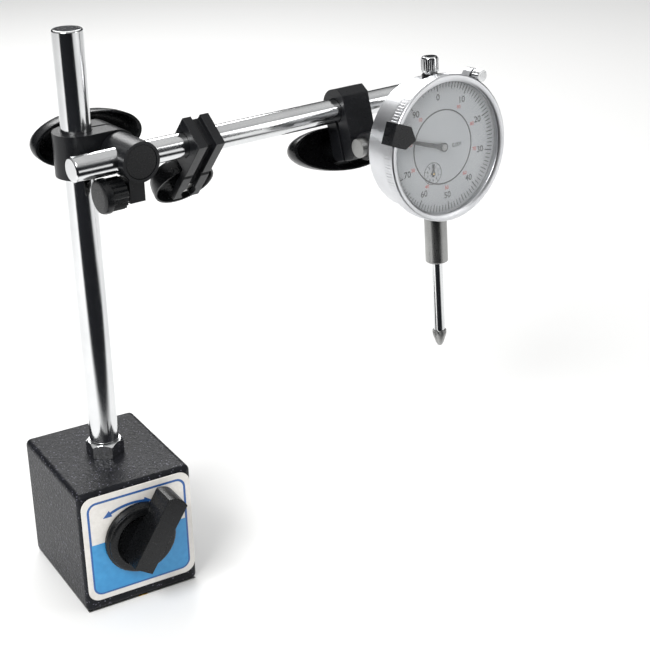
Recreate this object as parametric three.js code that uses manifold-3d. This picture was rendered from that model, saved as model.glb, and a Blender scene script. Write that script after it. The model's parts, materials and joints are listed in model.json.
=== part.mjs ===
// Dial indicator on a switchable magnetic base.
// Millimetres, +Z up. The origin is the middle of the base's flat foot, +X runs to the right along the
// label side and +Y runs to the back. Every mesh is one real piece.
import * as THREE from "three";
import { mergeVertices } from "three/addons/utils/BufferGeometryUtils.js";
import Module from "manifold-3d";

const wasm = await Module();
wasm.setup();

// Base block
const BASE_W = 50;
const BASE_D = 60;
const BASE_H = 55;
const CORNER_R = 2.5;
const SPACER_W = 4;
const BORE_Z = 30;
const BORE_R = 15;
const STUD_R = 4;
const STUD_DEPTH = 8;
const SEAM = 0.05;
const LABEL_SIZE = 48;
const LABEL_T = 0.6;
const LEVER_REST = THREE.MathUtils.degToRad(33);

// Post
const POST_R = 6;
const POST_TOP = 234;
const NUT_H = 6.2;
const LABEL_Z = 29.2;
const NUT_CORNER_R = 8;

// Arm and its clamps: the arm group stands at ARM_Z, turned by ARM_YAW about the post
const ARM_Z = 186;
const ARM_YAW = THREE.MathUtils.degToRad(6.3);
const ARM_R = 5;
const ARM_Y = -18.4;
const ARM_LEFT = -13;
const ARM_RIGHT = 152;
const BORE_GAP = 0.08;
const EYE_X = 12.2;
const EYE_R = 8;
const EYE_FRONT = -27.5;
const ADJUST_LENGTH = 11.6;
const POST_CLAMP_R = 9.5;
const POST_CLAMP_H = 17.5;
const SCREW_R = 3;
const SLIT = 1.3;
const GAP = 0.3;

// Clamp blocks on the arm: front face towards -Y, ears towards -Z
const SPARE_X = 42;
const SPARE_W = 12;
const SPARE_TURN = THREE.MathUtils.degToRad(40);
const SPARE_SCREW_Z = -22.5;
const HOLDER_X = 116.8;
const HOLDER_W = 13.4;
const HOLDER_TURN = THREE.MathUtils.degToRad(-17);
const HOLDER_SCREW_Z = -16.5;
const BLOCK_T = 7.5;
const BLOCK_TOP = 8.8;
const LUG_PIN_OUT = 14;

// Indicator: origin on the dial axis in the plane of the bezel's front rim, +Y to the back
const TILT = THREE.MathUtils.degToRad(3.7);
const DIAL_X = 132;
const LUG_Y = 30;
const BEZEL_R = 30;
const BEZEL_DEPTH = 5.9;
const CASE_R = 27.5;
const CASE_FRONT = 5.65;
const CASE_BACK = 17.4;
const COVER_BACK = 19;
const DIAL_Y = 4.6;
const SPINDLE_Y = 10.9;
const SPINDLE_R = 2.375;
const STEM_R = 4.76;
const STEM_END = -50.3;
const POINT_TOP = -80.8;
const POINT_END = -88.1;
const CAP_BOTTOM = 29.8;
const CAP_TOP = 36.5;
const POINTER_ANGLE = THREE.MathUtils.degToRad(287.6);
const COUNTER_ANGLE = 0.12;
const CLIP_ANGLE = THREE.MathUtils.degToRad(291.5);
const BEZEL_SCREW_ANGLE = THREE.MathUtils.degToRad(38);
const COUNTER_X = -5.75;
const COUNTER_Z = -9.95;

// Gear train, pitch radii: 10.16 mm of rack to one turn of the rack arbor, 2.54 mm to one turn of the hand
const RACK_PINION_R = 1.6;
const RACK_ARBOR_X = 4.3;
const RACK_WHEEL_R = 3.4;
const HAND_PINION_R = 0.86;
const COUNTER_PINION_R = 1.04;
const COUNTER_WHEEL_R = 10.4;

// Materials
const paint = { color: 0x2e3034, roughness: 0.6, metalness: 0.1 };
const castBlack = { color: 0x1d1e21, roughness: 0.45, metalness: 0.3 };
const knobPlastic = { color: 0x17181b, roughness: 0.4, metalness: 0 };
const chrome = { color: 0xd9d9d6, roughness: 0.12, metalness: 1 };
const steel = { color: 0x9a9a98, roughness: 0.35, metalness: 1 };
const brass = { color: 0xb8954a, roughness: 0.3, metalness: 1 };
const ferrite = { color: 0x3a3a3c, roughness: 0.7, metalness: 0 };
const aluminium = { color: 0xc9cacb, roughness: 0.3, metalness: 1 };
const silverDial = { color: 0xb9bab8, roughness: 0.5, metalness: 0.2 };
const labelFilm = { color: 0xd8d4ce, roughness: 0.4, metalness: 0 };
const clearCrystal = { color: 0xf4f6f6, roughness: 0.05, metalness: 0, opacity: 0.35, transparent: true };
const handBlack = { color: 0x111111, roughness: 0.5, metalness: 0 };

// ---------- solids ----------

// A closed three.js geometry as a solid.
function solid(geometry) {
  const bare = geometry.index ? geometry.toNonIndexed() : geometry.clone();
  for (const name of Object.keys(bare.attributes)) {
    if (name !== "position") bare.deleteAttribute(name);
  }
  const merged = mergeVertices(bare, 1e-4);
  const mesh = new wasm.Mesh({
    numProp: 3,
    vertProperties: merged.attributes.position.array,
    triVerts: new Uint32Array(merged.index.array),
  });
  return new wasm.Manifold(mesh);
}

function join(first, ...others) {
  return others.reduce((whole, piece) => whole.add(piece), first);
}

function cut(first, ...tools) {
  return tools.reduce((whole, tool) => whole.subtract(tool), first);
}

function box(low, high) {
  const size = high.map((value, i) => value - low[i]);
  const middle = high.map((value, i) => (value + low[i]) / 2);
  return solid(new THREE.BoxGeometry(...size).translate(...middle));
}

// A cylinder of radius r along axis "x", "y" or "z", from one coordinate to another, through (u, v).
// u and v are the other two coordinates in X, Y, Z order.
function rod(axis, from, to, r, u = 0, v = 0, sides = 24) {
  const shape = new THREE.CylinderGeometry(r, r, to - from, sides);
  const middle = (from + to) / 2;
  if (axis === "x") shape.rotateZ(Math.PI / 2).translate(middle, u, v);
  if (axis === "y") shape.translate(u, middle, v);
  if (axis === "z") shape.rotateX(Math.PI / 2).translate(u, v, middle);
  return solid(shape);
}

// A profile of [radius, height] pairs turned about Z, from the bottom of the axis to its top or closed.
function turned(profile, sides = 32) {
  const points = profile.map(([r, h]) => new THREE.Vector2(r, h));
  return solid(new THREE.LatheGeometry(points, sides).rotateX(Math.PI / 2));
}

// A flat outline of [x, y] pairs or a THREE.Shape, extruded along +Z from z = from to z = to.
function slab(outline, from, to, curveSegments = 8) {
  const shape = Array.isArray(outline)
    ? new THREE.Shape(outline.map(([x, y]) => new THREE.Vector2(x, y)))
    : outline;
  const options = { depth: to - from, bevelEnabled: false, curveSegments };
  return solid(new THREE.ExtrudeGeometry(shape, options).translate(0, 0, from));
}

// The same outline drawn in the YZ plane and extruded along X.
function sideSlab(outline, from, to, curveSegments = 8) {
  const made = slab(outline, from, to, curveSegments);
  return made.rotate([90, 0, 0]).rotate([0, 0, 90]);
}

// The same outline drawn in the XZ plane and extruded along Y.
function frontSlab(outline, from, to, curveSegments = 8) {
  return slab(outline, -to, -from, curveSegments).rotate([90, 0, 0]);
}

// Turns a solid made along Z so that its +Z points along +Y.
function towardsBack(made) {
  return made.rotate([-90, 0, 0]);
}

function roundedSquare(halfW, halfH, r) {
  const shape = new THREE.Shape();
  const turn = Math.PI / 2;
  shape.absarc(halfW - r, halfH - r, r, 0, turn);
  shape.absarc(r - halfW, halfH - r, r, turn, 2 * turn);
  shape.absarc(r - halfW, r - halfH, r, 2 * turn, 3 * turn);
  shape.absarc(halfW - r, r - halfH, r, 3 * turn, 4 * turn);
  return shape;
}

// A wheel with short pointed teeth, centred on the Z axis; tip and root are radii.
function wheel(tip, root, teeth, from, to) {
  const outline = [];
  for (let i = 0; i < teeth; i++) {
    const a = (i / teeth) * 2 * Math.PI;
    const half = Math.PI / teeth;
    outline.push([tip * Math.cos(a), tip * Math.sin(a)]);
    outline.push([root * Math.cos(a + half), root * Math.sin(a + half)]);
  }
  return slab(outline, from, to);
}

// ---------- scene graph ----------

const root = new THREE.Group();

function group(parent, position, rotation = [0, 0, 0]) {
  const made = new THREE.Group();
  made.position.set(...position);
  made.rotation.set(...rotation);
  parent.add(made);
  return made;
}

function add(parent, name, body, finish, position = [0, 0, 0], rotation = [0, 0, 0]) {
  const data = body.getMesh();
  const geometry = new THREE.BufferGeometry();
  geometry.setAttribute("position", new THREE.BufferAttribute(new Float32Array(data.vertProperties), 3));
  geometry.setIndex(new THREE.BufferAttribute(new Uint32Array(data.triVerts), 1));
  geometry.computeVertexNormals();
  const mesh = new THREE.Mesh(geometry, new THREE.MeshStandardMaterial(finish));
  mesh.name = name;
  mesh.position.set(...position);
  mesh.rotation.set(...rotation);
  parent.add(mesh);
}

// ---------- base: two steel poles, the spacers between them and the turning magnet ----------

function addPoles() {
  const block = slab(roundedSquare(BASE_W / 2, BASE_D / 2, CORNER_R), 0, BASE_H, 4);
  const bore = rod("y", -BASE_D, BASE_D, BORE_R, 0, BORE_Z, 40);
  const studHole = rod("z", BASE_H - STUD_DEPTH, BASE_H + 1, STUD_R + 0.2);
  const hollow = cut(block, bore, studHole);
  const half = SPACER_W / 2 + SEAM;
  const far = BASE_D;
  const leftOnly = box([half, -far, -1], [far, far, far]);
  const rightOnly = box([-far, -far, -1], [-half, far, far]);
  add(root, "left_pole", cut(hollow, leftOnly, box([-half, -far, -1], [half, far, far])), paint);
  add(root, "right_pole", cut(hollow, rightOnly, box([-half, -far, -1], [half, far, far])), paint);
  const strip = box([-SPACER_W / 2, -BASE_D / 2, 0], [SPACER_W / 2, BASE_D / 2, BASE_H]);
  const strips = cut(strip, bore, studHole);
  add(root, "lower_spacer", cut(strips, box([-far, -far, BORE_Z], [far, far, far])), brass);
  add(root, "upper_spacer_front", cut(strips, box([-far, -far, -1], [far, far, BORE_Z]),
    box([-far, 0, -1], [far, far, far])), brass);
  add(root, "upper_spacer_rear", cut(strips, box([-far, -far, -1], [far, far, BORE_Z]),
    box([-far, -far, -1], [far, 0, far])), brass);
}

function addSwitch() {
  const front = -BASE_D / 2;
  const bushR = BORE_R - 0.1;
  const bush = rod("y", front, front + 4, bushR, 0, BORE_Z, 40);
  const groove = new THREE.Shape();
  const grooveR = 9.5;
  const grooveHalf = 1.7;
  const start = Math.PI / 2 - LEVER_REST - 0.15;
  const end = start + Math.PI / 2 + 0.3;
  groove.absarc(0, 0, grooveR + grooveHalf, start, end, false);
  groove.absarc(0, 0, grooveR - grooveHalf, end, start, true);
  const stopGroove = frontSlab(groove, front + 1.5, front + 5).translate(0, 0, BORE_Z);
  const shaftHole = rod("y", front - 1, front + 5, 4.2, 0, BORE_Z);
  add(root, "front_bush", cut(bush, stopGroove, shaftHole), brass);
  const label = frontSlab(roundedSquare(LABEL_SIZE / 2, LABEL_SIZE / 2, 5), front - LABEL_T, front - 0.02, 5);
  const labelHole = rod("y", front - 2, front + 1, 5, 0, BORE_Z - LABEL_Z);
  add(root, "label_plate", cut(label, labelHole), labelFilm, [0, 0, LABEL_Z]);
  add(root, "rear_plug", rod("y", BASE_D / 2 - 4, BASE_D / 2 - 0.5, bushR, 0, BORE_Z, 40), steel);

  const rotorFront = front + 4.3;
  const rotorBack = BASE_D / 2 - 4.3;
  const rotorR = BORE_R - 0.4;
  const magnetHalf = 5;
  const rotor = rod("y", rotorFront, rotorBack, rotorR, 0, 0, 36);
  const far = BASE_D;
  const magnetOnly = box([-magnetHalf, -far, -far], [magnetHalf, far, far]);
  const shoeHalf = magnetHalf + SEAM;
  const socket = rod("y", rotorFront - 1, rotorFront + 8, 3.7);
  const turn = [0, LEVER_REST, 0];
  const axis = [0, 0, BORE_Z];
  add(root, "magnet_block", cut(rotor.intersect(magnetOnly), socket), ferrite, axis, turn);
  add(root, "magnet_shoe_left", rotor.intersect(box([-far, -far, -far], [-shoeHalf, far, far])), steel, axis, turn);
  const rightShoe = rotor.intersect(box([shoeHalf, -far, -far], [far, far, far]));
  add(root, "magnet_shoe_right", rightShoe, steel, axis, turn);
  add(root, "switch_shaft", rod("y", front - 5, rotorFront + 7.5, 3.5), steel, axis, turn);
  const pinZ = 9.5;
  const pin = rod("y", front + 1.8, rotorFront - 0.1, 1.2, 0, pinZ, 12);
  add(root, "stop_pin", pin, steel, axis, turn);
}

// The turning knob: a dished disc with a stepped rim and a lever bar that stands off one side.
function addSwitchKnob() {
  const back = -BASE_D / 2 - 1;
  const disc = towardsBack(turned([
    [0, 0], [15.5, 0], [15.5, 1.6], [14.6, 2.4], [14.6, 3.6], [13.4, 4.4], [11.6, 4.4], [9.6, 2.6], [0, 2.6],
  ], 40)).rotate([0, 0, 180]);
  const bar = new THREE.Shape();
  bar.moveTo(-4.4, -9.6);
  bar.lineTo(4.4, -9.6);
  bar.lineTo(4.6, 22.2);
  bar.quadraticCurveTo(0, 25.4, -4.6, 22.2);
  const lever = frontSlab(bar, -14.2, -2);
  const shaftSocket = rod("y", -4.3, 0.5, 3.7);
  add(root, "switch_knob", cut(join(disc, lever), shaftSocket), knobPlastic, [0, back, BORE_Z], [0, LEVER_REST, 0]);
}

// ---------- post and its lock nut ----------

function addPost() {
  const shoulder = BASE_H + NUT_H + 0.1;
  const studEnd = BASE_H - STUD_DEPTH + 0.6;
  add(root, "post", turned([
    [0, studEnd], [STUD_R - 0.7, studEnd], [STUD_R - 0.1, studEnd + 0.8], [STUD_R - 0.1, shoulder],
    [POST_R - 0.6, shoulder], [POST_R, shoulder + 0.6], [POST_R, POST_TOP - 0.5], [POST_R - 0.5, POST_TOP],
    [0, POST_TOP],
  ], 40), chrome);
  const hex = rod("z", BASE_H + SEAM, BASE_H + NUT_H, NUT_CORNER_R, 0, 0, 6);
  const chamfer = turned([
    [0, BASE_H], [7.4, BASE_H], [8.1, BASE_H + 0.5], [8.1, BASE_H + NUT_H - 1.1], [6.9, BASE_H + NUT_H], [0, BASE_H + NUT_H],
  ], 36);
  const thread = rod("z", BASE_H - 1, BASE_H + NUT_H + 1, STUD_R + 0.1);
  add(root, "lock_nut", cut(hex.intersect(chamfer), thread), chrome);
}

// ---------- wing knobs: a hollow oval grip on a steel screw ----------

// The open side faces +Z and the hub's face is at z = 0. rim is how far the cup's rim stands behind it.
function wingKnob(halfLong, halfShort, depth, rim, hubR) {
  const cup = turned([
    [0, -rim - depth], [0.78, -rim - depth * 0.98], [0.93, -rim - depth * 0.8], [1, -rim - depth * 0.3],
    [1, -rim], [0.91, -rim], [0.86, -rim - depth * 0.55], [0.66, -rim - depth * 0.78], [0, -rim - depth * 0.82],
  ], 28);
  const oval = cup.scale([halfLong, halfShort, 1]);
  const hub = rod("z", -rim - depth * 0.9, 0, hubR, 0, 0, 20);
  const socket = rod("z", -rim - depth * 0.6, 1, SCREW_R + 0.15, 0, 0, 16);
  return cut(join(oval, hub), socket);
}

function screw(from, to) {
  return rod("z", from, to, SCREW_R, 0, 0, 16);
}

const TOWARDS_FRONT = [Math.PI / 2, 0, 0];

// ---------- clamp on the post, with the eye that carries the arm ----------

const armGroup = group(root, [0, 0, ARM_Z], [0, 0, ARM_YAW]);

function addPostClamp() {
  const half = POST_CLAMP_H / 2;
  const tip = EYE_X + half;
  const outline = new THREE.Shape();
  const bevel = 1.5;
  outline.absarc(0, 0, POST_CLAMP_R, Math.PI / 2, 1.5 * Math.PI);
  outline.lineTo(tip - bevel, -POST_CLAMP_R);
  outline.lineTo(tip, bevel - POST_CLAMP_R);
  outline.lineTo(tip, POST_CLAMP_R - bevel);
  outline.lineTo(tip - bevel, POST_CLAMP_R);
  const body = slab(outline, -half, half, 12);
  const side = new THREE.Shape();
  side.moveTo(-20, -half);
  side.lineTo(EYE_X, -half);
  side.absarc(EYE_X, 0, half, -Math.PI / 2, Math.PI / 2);
  side.lineTo(-20, half);
  const rounded = body.intersect(frontSlab(side, -20, 20, 12));
  const bore = rod("z", -half - 1, half + 1, POST_R + BORE_GAP, 0, 0, 40);
  const slit = box([0, -SLIT / 2, -half - 1], [tip + 1, SLIT / 2, half + 1]);
  const screwHole = rod("y", -20, 20, SCREW_R + 0.2, EYE_X, 0, 20);
  add(armGroup, "post_clamp", cut(rounded, bore, slit, screwHole), castBlack);

  const hubFace = POST_CLAMP_R + GAP;
  add(armGroup, "post_wing_knob", wingKnob(24, 11, 10, 3.2, 5.5), knobPlastic, [EYE_X, hubFace, 0], TOWARDS_FRONT);
  add(armGroup, "post_wing_screw", screw(-8.5, hubFace + 12.6), steel, [EYE_X, hubFace, 0], TOWARDS_FRONT);
}

function addEye() {
  const rear = -POST_CLAMP_R - GAP;
  const sleeve = rod("y", EYE_FRONT, rear, EYE_R, EYE_X, 0, 40);
  const lug = box([EYE_X - 3, ARM_Y - 3.6, -17.4], [EYE_X + 3.6, ARM_Y + 3.6, -6]);
  const armHole = rod("x", EYE_X - 20, EYE_X + 20, ARM_R + BORE_GAP, ARM_Y, 0, 32);
  const plugSeat = rod("y", EYE_FRONT - 1, EYE_FRONT + 1.2, EYE_R - 1.2, EYE_X, 0, 36);
  const screwHole = rod("y", -14, rear + 1, SCREW_R + 0.2, EYE_X, 0, 16);
  const adjustHole = rod("x", EYE_X - 10, EYE_X + 2.5, 2.15, ARM_Y, -13.1, 16);
  add(armGroup, "eye_sleeve", cut(join(sleeve, lug), armHole, plugSeat, screwHole, adjustHole), castBlack);
  const plug = rod("y", EYE_FRONT + 0.25, EYE_FRONT + 1.15, EYE_R - 1.3, EYE_X, 0, 36);
  add(armGroup, "eye_plug", plug, knobPlastic);
}

function addFineAdjuster() {
  const barrelR = 6.5;
  const ribs = 20;
  const flange = turned([
    [0, 0], [5.2, 0], [6.6, 0.7], [7, 1.9], [7, 3.4], [6.2, 4], [0, 4],
  ], 28);
  const grip = wheel(barrelR, barrelR - 0.6, ribs, 3.8, 10);
  const neck = turned([[0, 9.5], [5, 9.5], [3.6, ADJUST_LENGTH], [0, ADJUST_LENGTH]], 20);
  const socket = rod("z", 6, 14, 2.15, 0, 0, 16);
  const alongArm = [0, Math.PI / 2, 0];
  const place = [EYE_X - 3 - GAP - ADJUST_LENGTH, ARM_Y, -13.1];
  add(armGroup, "fine_adjust_knob", cut(join(flange, grip, neck), socket), knobPlastic, place, alongArm);
  add(armGroup, "fine_adjust_screw", rod("z", 6.3, ADJUST_LENGTH + 5, 2, 0, 0, 16), steel, place, alongArm);
}

function addArm() {
  const chamfer = 0.7;
  const length = ARM_RIGHT - ARM_LEFT;
  const bar = turned([
    [0, 0], [ARM_R - chamfer, 0], [ARM_R, chamfer], [ARM_R, length - chamfer], [ARM_R - chamfer, length], [0, length],
  ], 36);
  add(armGroup, "arm", bar, chrome, [ARM_LEFT, ARM_Y, 0], [0, Math.PI / 2, 0]);
}

// ---------- spare clamp: a square block with a groove round it, and a tongue over its wing knob ----------

function addSpareClamp() {
  const frame = group(armGroup, [SPARE_X, ARM_Y, 0], [SPARE_TURN, 0, 0]);
  const half = SPARE_W / 2;
  const back = 6.5;
  const front = -8.5;
  const tongueBack = -5.5;
  const tongueEnd = -26;
  const outline = [
    [front, BLOCK_TOP], [back, BLOCK_TOP], [back, -9], [tongueBack, -9], [tongueBack, tongueEnd], [front, tongueEnd],
  ];
  const body = sideSlab(outline, -half, half);
  const armHole = rod("x", -half - 1, half + 1, ARM_R + BORE_GAP, 0, 0, 32);
  const slit = box([-half - 1, -0.6, -20], [half + 1, 0.6, -3]);
  const grooveTop = box([-2, front - 1, BLOCK_TOP - 2.4], [2, back + 1, BLOCK_TOP + 1]);
  const grooveFront = box([-2, front - 1, -29], [2, front + 2.4, BLOCK_TOP + 1]);
  const notch = sideSlab([[front - 1, -9.4], [front + 1.3, -11], [front - 1, -12.6]], -half - 1, half + 1);
  const screwHole = rod("y", -20, 20, SCREW_R + 0.2, 0, SPARE_SCREW_Z, 16);
  add(frame, "spare_clamp", cut(body, armHole, slit, grooveTop, grooveFront, notch, screwHole), castBlack);
  const place = [0, tongueBack + GAP, SPARE_SCREW_Z];
  const quarter = [Math.PI / 2, 0, 0];
  add(frame, "spare_wing_knob", wingKnob(13.2, 12, 8.5, 0.3, 5), knobPlastic, place, quarter);
  add(frame, "spare_wing_screw", screw(-4.5, 1.1), steel, place, quarter);
}

// ---------- holder clamp: a split block, a swivel eye on its screw and the pin that takes the lug ----------

function addHolderClamp() {
  const frame = group(armGroup, [HOLDER_X, ARM_Y, 0], [HOLDER_TURN, 0, 0]);
  const half = HOLDER_W / 2;
  const end = HOLDER_SCREW_Z - 4.8;
  const outline = new THREE.Shape();
  outline.moveTo(-BLOCK_T, end + 2);
  outline.lineTo(-BLOCK_T + 2, end);
  outline.lineTo(BLOCK_T - 2, end);
  outline.lineTo(BLOCK_T, end + 2);
  outline.lineTo(BLOCK_T, 1.5);
  outline.absarc(0.2, 1.5, BLOCK_T - 0.2, 0, Math.PI / 2);
  outline.lineTo(-4.6, BLOCK_TOP);
  outline.lineTo(-BLOCK_T, BLOCK_TOP - 3.4);
  const body = sideSlab(outline, -half, half, 8);
  const armHole = rod("x", -half - 1, half + 1, ARM_R + BORE_GAP, 0, 0, 32);
  const slit = box([-half - 1, -SLIT / 2, end - 1], [half + 1, SLIT / 2, -3]);
  const screwHole = rod("y", -20, 20, SCREW_R + 0.2, 0, HOLDER_SCREW_Z, 16);
  add(frame, "holder_clamp", cut(body, armHole, slit, screwHole), castBlack);

  const place = [0, BLOCK_T + GAP, HOLDER_SCREW_Z];
  const roll = THREE.MathUtils.degToRad(-8);
  const wingFrame = group(frame, place, [0, -roll, 0]);
  add(wingFrame, "holder_wing_knob", wingKnob(24.5, 9.5, 10, 1.6, 5.5), knobPlastic, [0, 0, 0], TOWARDS_FRONT);
  add(wingFrame, "holder_wing_screw", screw(-6.5, 2 * BLOCK_T + 2.6), steel, [0, 0, 0], TOWARDS_FRONT);

  const eyeBack = -BLOCK_T - GAP;
  const pinY = -LUG_PIN_OUT;
  const eye = join(
    rod("y", pinY, eyeBack, 5.6, 0, HOLDER_SCREW_Z, 28),
    rod("x", -5.6, 5.6, 5.6, pinY, HOLDER_SCREW_Z, 28),
  );
  const pinHole = rod("x", -10, 10, 4.12, pinY, HOLDER_SCREW_Z, 24);
  const eyeThread = rod("y", pinY + 4, eyeBack + 1, SCREW_R + 0.2, 0, HOLDER_SCREW_Z, 16);
  add(frame, "swivel_eye", cut(eye, pinHole, eyeThread), castBlack);

  const lugLeft = DIAL_X - HOLDER_X - 3.2;
  const pin = join(
    rod("x", -9, lugLeft - GAP, 4, pinY, HOLDER_SCREW_Z, 24),
    rod("x", lugLeft - 1, lugLeft + 12, 3, pinY, HOLDER_SCREW_Z, 20),
  );
  add(frame, "lug_pin", pin, steel);
  const nut = cut(
    rod("x", lugLeft + 6.4 + GAP, lugLeft + 11, 5.5, pinY, HOLDER_SCREW_Z, 6),
    rod("x", lugLeft, lugLeft + 13, 3.12, pinY, HOLDER_SCREW_Z, 20),
  );
  add(frame, "lug_nut", nut, steel);
}

// ---------- indicator ----------

// The lug's hole is on the pin, so the frame is placed from there.
const pinBack = ARM_Y - LUG_PIN_OUT * Math.cos(HOLDER_TURN) - HOLDER_SCREW_Z * Math.sin(HOLDER_TURN);
const pinUp = -LUG_PIN_OUT * Math.sin(HOLDER_TURN) + HOLDER_SCREW_Z * Math.cos(HOLDER_TURN);
const dialBack = pinBack - LUG_Y * Math.cos(TILT);
const dialUp = pinUp + LUG_Y * Math.sin(TILT);
const dialGroup = group(armGroup, [DIAL_X, dialBack, dialUp], [-TILT, 0, 0]);

// Clockwise from the top as seen from the front.
function clock(angle, r) {
  return [r * Math.sin(angle), r * Math.cos(angle)];
}

function dialTurned(profile, sides) {
  return towardsBack(turned(profile, sides));
}

function addCase() {
  const wall = dialTurned([
    [24.2, CASE_FRONT], [27.9, CASE_FRONT], [27.9, BEZEL_DEPTH + 0.2], [CASE_R, BEZEL_DEPTH + 0.4],
    [CASE_R, CASE_BACK], [25.5, CASE_BACK], [25.5, 7], [24.2, 7], [24.2, CASE_FRONT],
  ], 48);
  const [screwX, screwZ] = clock(BEZEL_SCREW_ANGLE, 32.9);
  const screwLug = rod("y", 7, 11.5, 2.6, screwX, screwZ, 16);
  const bridge = box([-2.6, 7, 24], [2.6, 11.5, 32.9]).rotate([0, THREE.MathUtils.radToDeg(BEZEL_SCREW_ANGLE), 0]);
  const reach = rod("y", 0, 30, 26.5, 0, 0, 48);
  const ear = cut(join(screwLug, bridge), reach);
  const screwHole = rod("y", 6, 14, 1.1, screwX, screwZ, 12);
  const stemHole = rod("z", -40, -20, STEM_R + 0.12, 0, SPINDLE_Y, 28);
  const capHole = rod("z", 20, 40, SPINDLE_R + 0.55, 0, SPINDLE_Y, 20);
  add(dialGroup, "case", cut(join(wall, ear), screwHole, stemHole, capHole), aluminium);
  const stem = cut(
    rod("z", STEM_END, -25, STEM_R, 0, SPINDLE_Y, 28),
    rod("z", STEM_END - 1, -24, SPINDLE_R + 0.15, 0, SPINDLE_Y, 24),
  );
  const nose = turned([
    [0, STEM_END - 0.01], [STEM_R - 0.7, STEM_END - 0.01], [6, STEM_END + 1.25], [6, -24], [0, -24],
  ], 28).translate(0, SPINDLE_Y, 0);
  add(dialGroup, "stem", stem.intersect(nose), steel);
  const bezelScrew = join(
    rod("y", 2.2, 6.2, 2.5, screwX, screwZ, 14),
    rod("y", 6, 13.2, 0.95, screwX, screwZ, 10),
  );
  add(dialGroup, "bezel_screw", bezelScrew, chrome);
}

function addBackCover() {
  const disc = dialTurned([
    [0, CASE_BACK + 0.1], [27.3, CASE_BACK + 0.1], [27.3, COVER_BACK - 0.6], [26.6, COVER_BACK], [0, COVER_BACK],
  ], 48);
  const lugShape = new THREE.Shape();
  lugShape.moveTo(COVER_BACK - 0.5, -6.3);
  lugShape.lineTo(LUG_Y, -6.3);
  lugShape.absarc(LUG_Y, 0, 6.3, -Math.PI / 2, Math.PI / 2);
  lugShape.lineTo(COVER_BACK - 0.5, 6.3);
  const lug = sideSlab(lugShape, -3.2, 3.2, 10);
  const hole = rod("x", -5, 5, 3.15, LUG_Y, 0, 20);
  const screwSpots = coverScrewSpots();
  const screwHoles = screwSpots.map(([x, z]) => rod("y", 10, 25, 1.4, x, z, 12));
  const recesses = screwSpots.map(([x, z]) => rod("y", COVER_BACK - 0.9, 25, 2.2, x, z, 14));
  add(dialGroup, "back_cover", cut(join(disc, lug), hole, ...screwHoles, ...recesses), aluminium);
  screwSpots.forEach(([x, z], i) => {
    const head = join(
      rod("y", COVER_BACK - 0.8, COVER_BACK + 0.4, 2, x, z, 14),
      rod("y", CASE_BACK - 3, COVER_BACK - 0.5, 1.2, x, z, 10),
    );
    const slot = box([x - 3, COVER_BACK, z - 0.25], [x + 3, COVER_BACK + 1, z + 0.25]);
    add(dialGroup, `cover_screw_${i + 1}`, cut(head, slot), steel);
  });
}

function coverScrewSpots() {
  return [1, 3, 5, 7].map((eighth) => clock((eighth * Math.PI) / 4, 22.5));
}

function addBezel() {
  const ring = dialTurned([
    [27, 1], [28.5, 0], [29.5, 0], [BEZEL_R, 0.5], [BEZEL_R, BEZEL_DEPTH], [28.3, BEZEL_DEPTH],
    [28.3, 2.2], [27, 2.2], [27, 1],
  ], 52);
  add(dialGroup, "bezel", ring, aluminium);
  add(dialGroup, "crystal", dialTurned([[0, 2.25], [28.1, 2.25], [28.1, 3.15], [0, 3.15]], 40), clearCrystal);
  const outer = dialTurned([
    [15.3, DIAL_Y], [28, DIAL_Y], [28, DIAL_Y + 0.45], [15.3, DIAL_Y + 0.45], [15.3, DIAL_Y],
  ], 40);
  add(dialGroup, "outer_dial", outer, silverDial);
}

function addMovement() {
  const centreHole = rod("y", 0, 20, 1.4, 0, 0, 16);
  const counterHole = rod("y", 0, 20, 0.9, COUNTER_X, COUNTER_Z, 12);
  const innerDial = rod("y", DIAL_Y, DIAL_Y + 0.45, 15.1, 0, 0, 32);
  add(dialGroup, "inner_dial", cut(innerDial, centreHole, counterHole), silverDial);
  const plate = rod("y", 5.2, 5.6, 26, 0, 0, 32);
  const rackHole = rod("y", 0, 20, 0.8, RACK_ARBOR_X, 0, 12);
  add(dialGroup, "front_plate", cut(plate, centreHole, counterHole, rackHole), brass);
  const bridge = box([-9, 14.6, -7], [9, 15.6, 12]);
  const pinSlot = box([-1.2, 14, -8], [1.2, 16, 13]);
  const halves = cut(bridge, pinSlot, rackHole);
  const tie = box([-9, 15.9, 9], [9, 16.6, 12]);
  const tieLegs = join(box([-9, 15.5, 9], [-6, 16.6, 12]), box([6, 15.5, 9], [9, 16.6, 12]));
  add(dialGroup, "rear_bridge", join(halves, tie, tieLegs), brass);
  add(dialGroup, "pillar_left", rod("y", 5.65, 14.5, 1.2, -7.4, 4, 12), brass);
  add(dialGroup, "pillar_right", rod("y", 5.65, 14.5, 1.2, 8.1, 9.8, 12), brass);
}

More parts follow.
